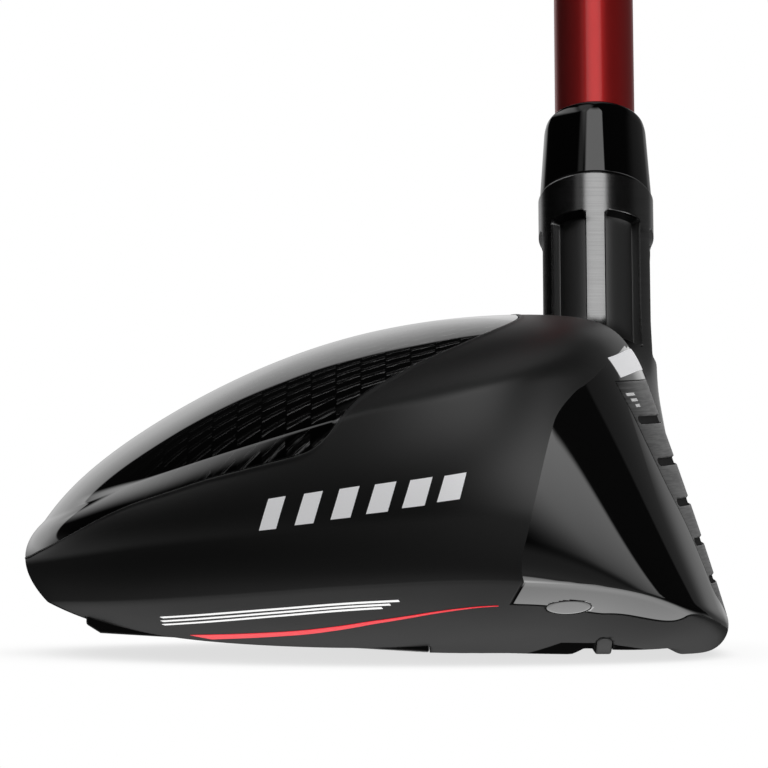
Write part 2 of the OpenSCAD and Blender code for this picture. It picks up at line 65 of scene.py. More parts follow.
# Stations that go round the head from the face centre by the toe, the back and the heel. Each row holds the
# upper edge of the side wall, its widest point, its lower edge, then the crown's share and the sole's share
# and power.
STATIONS = np.array([
    [0, -11.4, 34.4, 0, -17.3, 18.4, 0, -22.5, 2.5, 0.66, 0, 22],
    [-20, -10.6, 34.5, -20, -16.4, 18.5, -17, -21.6, 3.1, 0.66, 0.1, 9],
    [-37, -7.8, 33.4, -38.5, -12.4, 18.6, -31, -17.8, 5.2, 0.66, 0.2, 4.5],
    [-46, -1.5, 31.9, -49, -3.5, 17.5, -41.5, -9.5, 7.9, 0.7, 0.3, 2.8],
    [-49.5, 8, 29.8, -53.5, 8, 16, -46, 5, 9, 0.8, 0.3, 2.6],
    [-48, 20.5, 26.8, -52, 21, 14.6, -44.5, 19.5, 8.4, 0.85, 0.3, 2.6],
    [-41.5, 33, 23, -45.5, 34, 13.2, -38.5, 31.5, 7.4, 0.85, 0.3, 3.2],
    [-30, 44, 19.2, -33, 45.8, 12, -27.5, 43.5, 6.4, 0.85, 0.3, 4.5],
    [-14, 51.8, 15.9, -15.5, 54, 10.9, -13, 51.5, 5.9, 0.85, 0.3, 6],
    [3, 54.6, 14.6, 3, 56.7, 10.4, 3, 54.2, 5.6, 0.85, 0.3, 6],
    [19, 51.5, 15.6, 20.5, 53.6, 11, 18, 51, 6.1, 0.85, 0.3, 6],
    [32.5, 43, 19.2, 35.5, 44.8, 12.6, 31, 42.5, 7.2, 0.85, 0.3, 4.5],
    [42.5, 29.5, 23.5, 46, 30.5, 14.6, 40, 29, 8.4, 0.85, 0.3, 3.2],
    [49, 13, 27.5, 51.5, 13, 16.8, 43, 12.5, 8.9, 0.8, 0.3, 2.6],
    [51, -4.5, 29.5, 50, -5.5, 19, 41.5, -6.5, 8.2, 0.7, 0.3, 2.8],
    [40, -12.2, 32, 41, -16.4, 17.5, 32, -18.2, 5, 0.66, 0.2, 4.5],
    [20, -10.8, 33.7, 20, -16.6, 18.2, 17.5, -21.7, 2.9, 0.66, 0.1, 10],
])
TURN = len(STATIONS)
CROWN_POLE = np.array([-1, 16, 36.3])
CROWN_TILT, EDGE_POWER, STEADY = -0.2, 12, 1.15
SOLE_POLE = np.array([0, 4, -0.2])
# Seam of the crown panel: stations and places on the skin.
SEAM = np.array([
    [0, 0.5], [1.3, 0.555], [2.7, 0.65], [3.5, 0.705], [4, 0.755], [4.35, 0.8], [4.6, 0.86], [4.85, 0.915],
    [5, 0.965], [5.1, 1.035], [5.2, 1.085], [5.35, 1.105], [6.2, 1.11], [6.9, 1.15], [7.25, 1.205],
    [7.9, 1.375], [8.4, 1.46], [9, 1.48], [9.8, 1.43], [10.7, 1.24], [11.5, 1.14], [12.5, 1.11], [12.8, 1.08],
    [13, 0.98], [13.2, 0.9], [13.6, 0.81], [14.3, 0.68], [15, 0.58], [16, 0.52], [17, 0.5],
])
# Masked edge of the gloss paint on the toe, and the groove that closes it underneath, as [station, place].
MASK_LINE = [
    [1.2, 1.0], [2.02, 1.025], [2.5, 1.08], [2.66, 1.09], [2.92, 1.145], [3.02, 1.2], [3.22, 1.37],
    [3.42, 1.56], [3.66, 1.805], [3.82, 2.145],
]
GROOVE_LINE = [
    [3.82, 2.145], [3.5, 2.145], [3.06, 2.175], [2.84, 2.14], [2.52, 2.12], [2.26, 2.095], [2.1, 2.06],
    [2.05, 2.0], [1.2, 1.99],
]
# Border of the face plate at its toe end and heel end, by height, and the heights of the score lines.
FACE_TOE = np.array([
    [4, 0.5], [7, 1.1], [11.2, 1.22], [15, 1.34], [19.1, 1.55], [23.5, 1.7], [27.7, 1.83], [31, 2],
])
FACE_HEEL = np.array([[4, -0.7], [10, -1.2], [31, -1.5]])
FACE_LOW, FACE_HIGH = 4.2, 30.8
SCORE_Z = [26.3, 21.7, 17.2, 12.8, 8.6]
SCORE_W, SCORE_DEPTH = 0.9, 0.25


# ---- small helpers
def smoothstep(x, low, high):
    t = np.clip((x - low) / (high - low), 0, 1)
    return t * t * (3 - 2 * t)


def full_turn(segments):
    return np.linspace(0, 2 * math.pi, segments, endpoint=False)


# ---- the head's skin
def station(u):
    """Row of the stations at u, on a smooth curve through them."""
    i = np.floor(u).astype(int)
    t = (u - i)[..., None]
    a, b, c, d = (STATIONS[(i + k) % TURN] for k in (-1, 0, 1, 2))
    return 0.5 * (2 * b + (c - a) * t + (2 * a - 5 * b + 4 * c - d) * t**2 + (3 * b - a - 3 * c + d) * t**3)


def crown_point(s, r):
    """Point between the crown's pole (r = 0) and its edge (r = 1)."""
    edge, share = s[..., 0:3], s[..., 9]
    rise = CROWN_TILT * (edge[..., 1] - CROWN_POLE[1])
    fall = CROWN_POLE[2] + rise - edge[..., 2]
    bend = share * r**2 + (1 - share) * r**EDGE_POWER
    plan = CROWN_POLE[:2] + (edge[..., :2] - CROWN_POLE[:2]) * r[..., None]
    return np.concatenate([plan, (CROWN_POLE[2] + rise * r - fall * bend)[..., None]], -1)


def wall_point(s, t):
    """Point down the side wall, on a curve through its widest point."""
    top, mid, low = s[..., 0:3], s[..., 3:6], s[..., 6:9]
    pull = 2 * mid - (top + low) / 2
    t = t[..., None]
    return (1 - t)**2 * top + 2 * t * (1 - t) * pull + t**2 * low


def sole_point(s, r):
    """Point between the sole's pole (r = 0) and its edge (r = 1), never below the ground."""
    edge, share, power = s[..., 6:9], s[..., 10], s[..., 11]
    bend = share * r**STEADY + (1 - share) * r**power
    z = SOLE_POLE[2] + (edge[..., 2] - SOLE_POLE[2]) * bend
    plan = SOLE_POLE[:2] + (edge[..., :2] - SOLE_POLE[:2]) * r[..., None]
    return np.concatenate([plan, np.maximum(z, 0)[..., None]], -1)


def bare_skin(u, v):
    s = station(u)
    crown = crown_point(s, np.clip(v, 0, 1))
    wall = wall_point(s, np.clip(v - 1, 0, 1))
    sole = sole_point(s, np.clip(3 - v, 0, 1))
    v = v[..., None]
    return np.where(v <= 1, crown, np.where(v <= 2, wall, sole))


def front_share(u):
    """1 at the face, 0 round the toe, back and heel."""
    away = np.minimum(np.mod(u, TURN), TURN - np.mod(u, TURN))
    return smoothstep(-away, -3.2, -1.2)


def softness(u, v):
    """How far the edges between crown, wall and sole are rounded, in units of v."""
    front = front_share(u)
    around = np.mod(u, TURN)
    crisp = smoothstep(around, 4.2, 5.0) * smoothstep(-around, -12.6, -11.8)
    upper = (0.035 - 0.024 * crisp + 0.11 * front) * np.clip(1 - np.abs(v - 1) / 0.4, 0, 1)
    lower = (0.007 + 0.06 * front) * np.clip(1 - np.abs(v - 2) / 0.4, 0, 1)
    return upper + lower


# Steps and weights of the average that rounds the skin's edges.
TAPS = np.linspace(-1, 1, 9)
WEIGHTS = (1 - np.abs(TAPS) * 0.9) / np.sum(1 - np.abs(TAPS) * 0.9)


def skin(u, v):
    """Point of the skin: v runs 0..1 over the crown, 1..2 down the wall and 2..3 under the sole."""
    u, v = np.broadcast_arrays(np.asarray(u, float), np.asarray(v, float))
    w = softness(u, v)
    return sum(k * bare_skin(u, v + w * x) for k, x in zip(WEIGHTS, TAPS))


def skin_normal(u, v):
    u, v = np.broadcast_arrays(np.asarray(u, float), np.asarray(v, float))
    du, dv = 0.04, 0.012
    w = np.clip(v, 2 * dv, 3 - 2 * dv)
    n = np.cross(skin(u + du, w) - skin(u - du, w), skin(u, w + dv) - skin(u, w - dv))
    return n / np.maximum(np.linalg.norm(n, axis=-1, keepdims=True), 1e-9)


def lifted(u, v, height):
    return skin(u, v) + np.asarray(height, float)[..., None] * skin_normal(u, v)


def seam(u):
    u = np.mod(u, TURN)
    blur = np.linspace(-0.09, 0.09, 5)
    return sum(np.interp(np.mod(u + b, TURN), SEAM[:, 0], SEAM[:, 1]) for b in blur) / len(blur)


# ---- mesh helpers
def shade(mesh, crease):
    """Smooth shading, with edges sharper than crease degrees kept crisp."""
    mesh.polygons.foreach_set("use_smooth", [True] * len(mesh.polygons))
    mesh.set_sharp_from_angle(angle=math.radians(crease))


def turn_outwards(mesh):
    """Flips a closed mesh whose faces point inwards, as its negative volume shows."""
    solid = bmesh.new()
    solid.from_mesh(mesh)
    if solid.calc_volume(signed=True) < 0:
        mesh.flip_normals()
    solid.free()


def mesh_object(name, points, faces, crease):
    """Closed, smooth-shaded mesh from points in millimetres."""
    mesh = bpy.data.meshes.new(name)
    mesh.from_pydata((np.asarray(points) * MM).tolist(), [], faces)
    turn_outwards(mesh)
    mesh.update()
    shade(mesh, crease)
    obj = bpy.data.objects.new(name, mesh)
    bpy.context.scene.collection.objects.link(obj)
    return obj


def ring_faces(rows, cols, loop):
    """Quads between rows of a grid; loop joins the last column to the first."""
    j, i = np.meshgrid(np.arange(rows - 1), np.arange(cols if loop else cols - 1), indexing="ij")
    a = j * cols + i
    b = j * cols + (i + 1) % cols
    return np.stack([a, b, b + cols, a + cols], -1).reshape(-1, 4).tolist()


def closed_rings(name, rings, crease):
    """Solid from closed rings of points (rows, cols, 3), with a fan over both ends."""
    rows, cols = rings.shape[:2]
    points = np.concatenate([rings.reshape(-1, 3), rings[0].mean(0)[None], rings[-1].mean(0)[None]])
    first, last = rows * cols, rows * cols + 1
    faces = ring_faces(rows, cols, True)
    faces += [[(i + 1) % cols, i, first] for i in range(cols)]
    faces += [[(rows - 1) * cols + i, (rows - 1) * cols + (i + 1) % cols, last] for i in range(cols)]
    return mesh_object(name, points, faces, crease)


def tube(rings):
    """Points and faces of a ring-shaped solid: the last of its rings (rows, cols, 3) joins the first."""
    rows, cols = rings.shape[:2]
    faces = np.array(ring_faces(rows + 1, cols, True)) % (rows * cols)
    return rings.reshape(-1, 3), faces.tolist()


def patch(outer, inner):
    """Points and faces of a thin solid between two equal grids of points."""
    rows, cols = outer.shape[:2]
    count = rows * cols
    top = np.array(ring_faces(rows, cols, False))
    grid = np.arange(count).reshape(rows, cols)
    rim = np.concatenate([grid[0], grid[1:, -1], grid[-1, -2::-1], grid[-2:0:-1, 0]]).tolist()
    faces = top.tolist() + (top[:, ::-1] + count).tolist()
    faces += [[b, a, a + count, b + count] for a, b in zip(rim, rim[1:] + rim[:1])]
    return np.concatenate([outer.reshape(-1, 3), inner.reshape(-1, 3)]), faces


def joined(parts):
    """Points and faces of several such solids as one."""
    points, faces, base = [], [], 0
    for some_points, some_faces in parts:
        points.append(some_points)
        faces += (np.array(some_faces) + base).tolist()
        base += len(some_points)
    return np.concatenate(points), faces


def skin_patches(name, grids, high):
    """Thin solids on the skin, one per (u, v) pair of grids, that end at a height above it."""
    root = -0.05
    return mesh_object(name, *joined([patch(lifted(u, v, high), lifted(u, v, root)) for u, v in grids]), 50)


def put_values(obj, name, values):
    """Stores one number per vertex, for the materials to read."""
    obj.data.attributes.new(name, "FLOAT", "POINT").data.foreach_set("value", values.astype(np.float32))


def along_shaft(s, r, phi):
    """Point at a distance s from the ground along the shaft, at radius r; phi is 0 towards the toe."""
    s, r, phi = np.broadcast_arrays(np.asarray(s, float), np.asarray(r, float), np.asarray(phi, float))
    side = np.cos(phi)[..., None] * TOEWARD + np.sin(phi)[..., None] * FACEWARD
    return SHAFT_FOOT + s[..., None] * SHAFT_DIR + r[..., None] * side


def lathe(name, profile, segments, crease):
    """Turned solid round the shaft's axis from (s, r) pairs, the last of which joins the first."""
    s, r = np.array(profile, float).T
    return mesh_object(name, *tube(along_shaft(s[:, None], r[:, None], full_turn(segments))), crease)


def rounded(points, radius, steps):
    """The polyline with its inner corners rounded by short curves."""
    points = [np.array(p, float) for p in points]
    out = [points[0]]
    for a, b, c in zip(points, points[1:], points[2:]):
        reach = min(radius, np.linalg.norm(a - b) / 2.2, np.linalg.norm(c - b) / 2.2)
        p = b + (a - b) / np.linalg.norm(a - b) * reach
        q = b + (c - b) / np.linalg.norm(c - b) * reach
        out += [(1 - t)**2 * p + 2 * t * (1 - t) * b + t**2 * q for t in np.linspace(0, 1, steps)]
    return out + [points[-1]]


# ---- hosel radius and its blend into the head
def hosel_radius(s, phi):
    """Outer radius of the hosel: ribs, collar, flare and flutes with sloped walls."""
    body = RIB_R + (COLLAR_R - RIB_R) * smoothstep(s, STEP_LOW, STEP_HIGH)
    body = body + 0.25 * smoothstep(-s, -44, -34)
    pitch = 360 / FLUTES
    off = np.abs(np.mod(np.degrees(phi) + FLUTE_TURN, pitch) - pitch / 2)
    # Distance inside the flute's rounded outline.
    a = np.radians(FLUTE_HALF - off) * RIB_R - FLUTE_CORNER
    b = np.minimum(FLUTE_TOP - s, s - FLUTE_LOW) - FLUTE_CORNER
    inside = FLUTE_CORNER - np.hypot(np.minimum(a, 0), np.minimum(b, 0)) + np.maximum(np.minimum(a, b), 0)
    return body - (body - FLUTE_R) * smoothstep(inside, 0, FLUTE_SLOPE)


# Reach of the blend between the head's skin and the hosel.
BLEND = 4.2


def blended(a, b):
    """Smooth union of two distances where a is the smaller; past the middle it runs on straight."""
    h = np.clip(BLEND - np.abs(a - b), 0, None) / BLEND
    return np.where(a <= b, a - h * h * BLEND / 4, (a + b) / 2 - BLEND / 4)


def blend_weight(a, b):
    h = np.clip(BLEND - np.abs(a - b), 0, None) / BLEND
    return np.where(a <= b, 1 - h / 2, 0.5)


def shaft_coordinates(p):
    q = p - SHAFT_FOOT
    s, toe, face = q @ SHAFT_DIR, q @ TOEWARD, q @ FACEWARD
    return s, np.hypot(toe, face), np.arctan2(face, toe)


def signed_distance(tree, p):
    """Distances above the skin and the skin's normals there."""
    distance, normals = np.empty(len(p)), np.empty((len(p), 3))
    for k, q in enumerate(p):
        spot, normal, _, d = tree.find_nearest(q.tolist())
        normals[k] = normal
        distance[k] = math.copysign(d, (Vector(q) - spot).dot(normal))
    return distance, normals


def blend_head(points, tree):
    """Moves skin points near the hosel on to the smooth union of both."""
    s, rho, phi = shaft_coordinates(points)
    near = (rho - RIB_R < BLEND) & (s > 20) & (rho > RIB_R - 3.5)
    p = points[near].copy()
    for _ in range(7):
        s, rho, phi = shaft_coordinates(p)
        b = rho - hosel_radius(s, phi)
        a, na = signed_distance(tree, p)
        side = np.cos(phi)[:, None] * TOEWARD + np.sin(phi)[:, None] * FACEWARD
        w = blend_weight(a, b)[:, None]
        gradient = w * na + (1 - w) * side
        step = blended(a, b)[:, None] * gradient / np.sum(gradient**2, 1, keepdims=True)
        p -= np.clip(step, -1, 1)
    points[near] = p
    return points


def plain_skin_tree():
    """Search tree over the skin near the hosel, before any blending."""
    u = np.linspace(12.6, 17.2, 150)
    v = np.linspace(0.3, 2.2, 190)
    grid = skin(u[None, :], v[:, None])
    return BVHTree.FromPolygons(grid.reshape(-1, 3).tolist(), ring_faces(len(v), len(u), False))


SKIN_TREE = plain_skin_tree()


# ---- node graphs and finishes
class Graph:
    """Short names for building a node tree."""

    def __init__(self, owner):
        owner.use_nodes = True
        self.owner, self.tree = owner, owner.node_tree
        self.tree.nodes.clear()

    def node(self, kind, settings=None, **inputs):
        made = self.tree.nodes.new(kind)
        for key, value in (settings or {}).items():
            setattr(made, key, value)
        for key, value in inputs.items():
            self.put(made.inputs[key.replace("_", " ")], value)
        return made

    def put(self, socket, value):
        if isinstance(value, bpy.types.NodeSocket):
            self.tree.links.new(value, socket)
        elif value is not None:
            socket.default_value = value

    def filled(self, kind, settings, values):
        """A node with its inputs given in order; None leaves one as it is."""
        made = self.node(kind, settings)
        for socket, value in zip(made.inputs, values):
            self.put(socket, value)
        return made.outputs[0]

    def math(self, operation, *values):
        return self.filled("ShaderNodeMath", {"operation": operation}, values)

    def times(self, *values):
        total = values[0]
        for value in values[1:]:
            total = self.math("MULTIPLY", total, value)
        return total

    def scaled(self, value, factor, start):
        """factor times the value, plus start."""
        return self.math("MULTIPLY_ADD", value, factor, start)

    def rest(self, value):
        """What the value lacks of 1."""
        return self.math("SUBTRACT", 1.0, value)

    def edge(self, value, low, high):
        """0 below low, 1 above high, smooth between."""
        smooth = {"interpolation_type": "SMOOTHSTEP"}
        return self.filled("ShaderNodeMapRange", smooth, (value, low, high, 0.0, 1.0))

    def band(self, value, rise_from, rise_to, fall_from, fall_to):
        """1 between two smooth edges, 0 outside."""
        fall = self.rest(self.edge(value, fall_from, fall_to))
        return self.times(self.edge(value, rise_from, rise_to), fall)

    def mix(self, share, a, b):
        made = self.node("ShaderNodeMix", {"data_type": "RGBA"})
        for key, value in ((0, share), (6, a), (7, b)):
            self.put(made.inputs[key], value)
        return made.outputs[2]

    def blend(self, share, a, b):
        return self.filled("ShaderNodeMix", {"data_type": "FLOAT"}, (share, None, a, b))

    def place(self):
        return self.node("ShaderNodeTexCoord").outputs["Object"]

    def axes(self, vector):
        return self.node("ShaderNodeSeparateXYZ", Vector=vector).outputs

    def stretched(self, scale, turn=(0, 0, 0)):
        return self.node("ShaderNodeMapping", Vector=self.place(), Rotation=turn, Scale=scale).outputs[0]

    def noise(self, vector, scale, detail, rough=0.55):
        made = self.node("ShaderNodeTexNoise", Vector=vector, Scale=scale, Detail=detail, Roughness=rough)
        return made.outputs[0]

    def bump(self, height, strength, distance, normal=None):
        given = {"Strength": strength, "Distance": distance, "Height": height, "Normal": normal}
        return self.node("ShaderNodeBump", **given).outputs[0]

    def attribute(self, name):
        return self.node("ShaderNodeAttribute", {"attribute_name": name}).outputs["Fac"]

    def layered(self, share, below, above):
        return self.filled("ShaderNodeMixShader", None, (share, below, above))

    def surface(self, dull=None, **inputs):
        """The material with its surface; dull is the share and colour of a plain diffuse laid over it."""
        shader = self.node("ShaderNodeBsdfPrincipled", **inputs).outputs[0]
        if dull:
            share, colour = dull
            cover = self.node("ShaderNodeBsdfDiffuse", Color=colour).outputs[0]
            shader = self.layered(share, shader, cover)
        self.node("ShaderNodeOutputMaterial", Surface=shader)
        return self.owner


def material(name):
    return Graph(bpy.data.materials.new(name))


def grey(level):
    return (level, level, level, 1.0)


def channel_shade(g):
    """1 in the sole channel, where its shade is painted in as a dull black: under a roof that dips to the
    face, between two walls.
    """
    _, y, z = g.axes(g.place())
    dip = g.math("MAXIMUM", g.math("SUBTRACT", -0.0078, y), 0.0)
    under_roof = g.edge(g.scaled(dip, 0.163, z), 0.00172, 0.00162)
    back_wall = g.edge(g.scaled(z, -2.3, g.times(y, -1.0)), -0.0011, -0.0005)
    front_wall = g.edge(y, -0.0149, -0.0140)
    return g.times(under_roof, back_wall, front_wall)


def satin_and_gloss():
    """Painted head: satin black, gloss black in the masked area on the toe, with shading painted in where it
    faces down.
    """
    g = material("head_paint")
    # The mask is a distance in metres from the gloss paint's edge, negative outside it.
    mask, lower = g.attribute("gloss"), g.attribute("groove")
    gloss = g.edge(mask, -0.00003, 0.00003)
    unmasked = g.rest(gloss)
    line = g.rest(g.edge(g.math("ABSOLUTE", mask), 0.00015, 0.00026))
    groove = g.rest(g.times(line, lower))
    step = g.rest(g.times(g.edge(mask, -0.0004, 0.0001), lower))
    # Along the groove under the gloss paint the colour drops to near black and the shine to none: painted
    # shade in the groove.
    tone = g.mix(groove, grey(0.0005), g.mix(gloss, grey(0.012), grey(0.0035)))
    rough = g.blend(gloss, g.scaled(g.noise(g.place(), 60.0, 2.0), 0.06, 0.36), 0.035)
    grain = g.times(g.noise(g.place(), 9000.0, 2.0), unmasked)
    down = g.axes(g.node("ShaderNodeNewGeometry").outputs["Normal"])[2]
    # Shade in the sole channel, painted in as a darker, duller diffuse cover.
    channel = channel_shade(g)
    # Where the surface faces down a plain diffuse cover takes over most of its shine, which paints in its
    # shading: lighter on the wall, duller under the sole.
    wall_facing_shade = g.times(g.edge(down, -0.02, -0.2), 0.95)
    sole_facing_shade = g.math("MAXIMUM", g.times(g.edge(down, -0.14, -0.27), 0.75), channel)
    facing_shade = g.blend(lower, wall_facing_shade, sole_facing_shade)
    return g.surface(
        dull=(g.times(facing_shade, unmasked), g.mix(channel, grey(0.03), grey(0.012))),
        Base_Color=tone, Roughness=rough, Normal=g.bump(grain, 0.10, 0.00002, g.bump(step, 0.8, 0.00016)),
        Specular_IOR_Level=g.times(groove, g.blend(gloss, 0.42, 0.5)),
    )


def carbon():
    """Woven tows under a clear coat: every second tow gets a painted sheen on its edges and fine fibres, which
    fades out towards the back.
    """
    g = material("carbon_weave")
    x, y, _ = g.axes(g.place())
    tow_w, tow_len = 0.0016, 0.0027
    wobble = g.scaled(g.noise(g.place(), 240.0, 1.0), 0.16, -0.08)
    row = g.math("ADD", g.math("DIVIDE", x, tow_w), wobble)
    column = g.math("DIVIDE", y, tow_len)
    cell = g.math("ADD", g.math("FLOOR", row), g.math("FLOOR", column))
    raised = g.math("GREATER_THAN", g.math("FRACT", g.times(cell, 0.5)), 0.25)
    across = g.math("FRACT", row)
    along = g.math("ABSOLUTE", g.math("SUBTRACT", g.math("FRACT", column), 0.5))
    rim_sheen = g.scaled(g.band(across, 0.6, 0.7, 0.76, 0.86), 0.4, g.band(across, 0.02, 0.1, 0.2, 0.34))
    fibre = g.edge(g.noise(g.stretched((9000, 700, 900)), 1.0, 3.0), 0.36, 0.66)
    sheen_towards_face = g.edge(y, 0.047, 0.006)
    # The tows' brightness is painted sheen, laid into the base colour.
    tow = g.times(raised, g.rest(g.edge(along, 0.44, 0.49)), fibre, sheen_towards_face)
    return g.surface(
        Base_Color=g.mix(g.times(tow, g.math("ADD", rim_sheen, 0.05)), grey(0.001), grey(0.34)), Roughness=0.6,
        Specular_IOR_Level=0.0, Coat_Weight=1.0, Coat_Roughness=0.015, Coat_IOR=1.5,
    )


def tungsten():
    """Sintered metal of the rear weight, with a fine and a coarse grain."""
    g = material("tungsten")
    coarse = g.times(g.noise(g.place(), 690.0, 2.0), 0.35)
    grain = g.scaled(g.noise(g.place(), 3000.0, 4.0, 0.65), 0.65, coarse)
    return g.surface(
        Base_Color=g.mix(g.edge(grain, 0.3, 0.7), grey(0.288), grey(0.52)), Metallic=1.0,
        Roughness=g.scaled(grain, 0.2, 0.25), Normal=g.bump(grain, 0.25, 0.00003),
    )


def face_steel():
    """Dark steel brushed from heel to toe; the score lines are a dull dark grey, painted shade in the grooves.
    """
    g = material("face_steel")
    lines = g.noise(g.stretched((70, 0, 3300)), 1.0, 4.0, 0.7)
    # Painted shade in the score lines: dull dark grey with no shine.
    score = g.edge(g.attribute("score"), 0.15, 0.5)
    brushed = g.mix(g.edge(lines, 0.42, 0.58), grey(0.04), grey(0.17))
    return g.surface(
        Base_Color=g.mix(score, brushed, grey(0.03)), Metallic=g.rest(score),
        Roughness=g.blend(score, 0.34, 0.6), Specular_IOR_Level=g.blend(score, 0.5, 0.0),
        Normal=g.bump(lines, g.blend(score, 0.25, 0.0), 0.00004),
    )


def hosel_steel():
    """Dark steel, brushed round the hosel on collar and ribs; rougher and darker in the flutes."""
    g = material("hosel_steel")
    lines = g.noise(g.stretched((90, 90, 8000), (0.0, math.pi / 2 - LIE, 0.0)), 1.0, 3.0, 0.6)
    floor = g.edge(g.attribute("flute"), 0.08, 0.4)
    brushed = g.mix(g.edge(lines, 0.3, 0.7), grey(0.145), grey(0.175))
    return g.surface(
        Base_Color=g.mix(floor, brushed, grey(0.09)), Metallic=1.0,
        Roughness=g.blend(floor, g.scaled(lines, 0.1, 0.15), 0.37),
        Normal=g.bump(lines, g.blend(floor, 0.1, 0.03), 0.00002),
    )


def black_gloss(name, level, rough, fleck=0.0):
    """Black plastic with a faint variation in depth and polish."""
    g = material(name)
    cloud, fine = g.noise(g.place(), 320.0, 3.0), g.noise(g.place(), 14000.0, 1.0)
    return g.surface(
        Base_Color=g.mix(g.times(cloud, 0.35), grey(level), grey(level * 0.7)),
        Roughness=g.scaled(cloud, 0.03, rough), Normal=g.bump(fine, fleck, 0.00001),
    )


def printed(name, colour, rough=0.4, metallic=0.0, painted_glow=0.0):
    """Paint or foil graphics with a fine grain; they glow faintly in their own colour, a painted brightness
    that no lamp gives.
    """
    g = material(name)
    grain = g.noise(g.place(), 5200.0, 3.0)
    darker = tuple(k * 0.8 for k in colour[:3]) + (1.0,)
    return g.surface(
        Base_Color=g.mix(g.times(grain, 0.3), colour, darker), Metallic=metallic,
        Roughness=g.scaled(grain, 0.12, rough - 0.06), Normal=g.bump(grain, 0.1, 0.00001),
        Specular_IOR_Level=0.15, Emission_Color=colour, Emission_Strength=painted_glow,
    )


def slot_rubber():
    """Dark, slightly waxy rubber of the slot's insert."""
    g = material("slot_rubber")
    fine = g.noise(g.place(), 3000.0, 2.0)
    return g.surface(
        dull=(0.75, grey(0.012)), Base_Color=grey(0.006), Roughness=0.3, Normal=g.bump(fine, 0.1, 0.00001),
    )


def grip_rubber():
    """Matt rubber with a fine grain."""
    g = material("grip_rubber")
    fine = g.noise(g.place(), 2600.0, 3.0)
    tone = g.mix(g.edge(fine, 0.35, 0.7), grey(0.012), grey(0.028))
    bump = g.bump(fine, 0.35, 0.0002)
    return g.surface(Base_Color=tone, Roughness=0.72, Specular_IOR_Level=0.35, Normal=bump)


def candy_red():
    """Metallic red paint under a thin clear coat; it falls to dark where no light meets it."""
    g = material("candy_red")
    cloud = g.noise(g.stretched((900, 900, 60)), 1.0, 2.0)
    flake = g.noise(g.place(), 16000.0, 1.0)
    tone = g.mix(g.times(cloud, 0.25), (0.4, 0.018, 0.018, 1), (0.26, 0.01, 0.01, 1))
    return g.surface(
        Base_Color=tone, Metallic=0.9, Roughness=0.4, Normal=g.bump(flake, 0.06, 0.00001),
        Coat_Weight=0.3, Coat_Roughness=0.06,
    )


# ---- head
def shell_columns():
    return np.linspace(0, TURN, TURN * 20 * DENSE, endpoint=False)


def channel_depth(x, y):
    """Depth of the channel across the sole, which runs out at both ends."""
    return 0.85 * smoothstep(y, -16.9, -14.5) * smoothstep(-y, 4.2, 6.6) * smoothstep(-np.abs(x), -19, -12)


def inside_outline(u, v, outline):
    """Whether each (u, v) lies in the outline."""
    inside = np.zeros(u.shape, bool)
    for (u0, v0), (u1, v1) in zip(outline, outline[1:] + outline[:1]):
        if v0 == v1:
            continue
        crosses = (v0 > v) != (v1 > v)
        inside ^= crosses & (u < (u1 - u0) * (v - v0) / (v1 - v0) + u0)
    return inside


def curve_on_skin(line):
    legs = [np.linspace(a, b, 4, endpoint=False) for a, b in zip(line, line[1:])]
    uv = np.concatenate(legs + [line[-1:]])
    return skin(uv[:, 0], uv[:, 1])


def distance_to_curve(points, curve):
    best = np.full(len(points), 1e9)
    for a, b in zip(curve, curve[1:]):
        leg = b - a
        t = np.clip((points - a) @ leg / max(leg @ leg, 1e-12), 0, 1)
        best = np.minimum(best, np.linalg.norm(points - a - t[:, None] * leg, axis=1))
    return best


def cornered_off(line, rounds=3):
    """The polyline with its corners cut again and again, which makes it a smooth curve."""
    line = np.array(line, float)
    for _ in range(rounds):
        a, b = line[:-1], line[1:]
        inner = np.stack([0.75 * a + 0.25 * b, 0.25 * a + 0.75 * b], 1).reshape(-1, 2)
        line = np.concatenate([line[:1], inner[1:-1], line[-1:]])
    return line


def paint_attributes(obj, u, v):
    """Signed distance, in metres, to the gloss paint's edge, and where that edge is a groove.

    The object's first vertices are the ones at (u, v) on the skin.
    """
    points = np.array([p.co for p in obj.data.vertices])[:u.size] / MM
    gloss, groove = (np.full(len(obj.data.vertices), value) for value in (-9.0, 0.0))
    around = np.mod(u + TURN / 2, TURN) - TURN / 2
    near = (np.abs(around) < 4.6) & (v < 2.5)
    outline = np.concatenate([cornered_off(MASK_LINE), cornered_off(GROOVE_LINE)[1:]])
    mirrored = outline * [-1, 1]
    inside = inside_outline(around[near], v[near], np.concatenate([outline, mirrored[::-1]]).tolist())
    d = np.minimum(*(distance_to_curve(points[near], curve_on_skin(edge)) for edge in (outline, mirrored)))
    gloss[np.flatnonzero(near)] = np.where(inside, d, -d)
    groove[:u.size] = (around > 0) * smoothstep(v, 1.97, 2.03)
    put_values(obj, "gloss", gloss * MM)
    put_values(obj, "groove", groove)


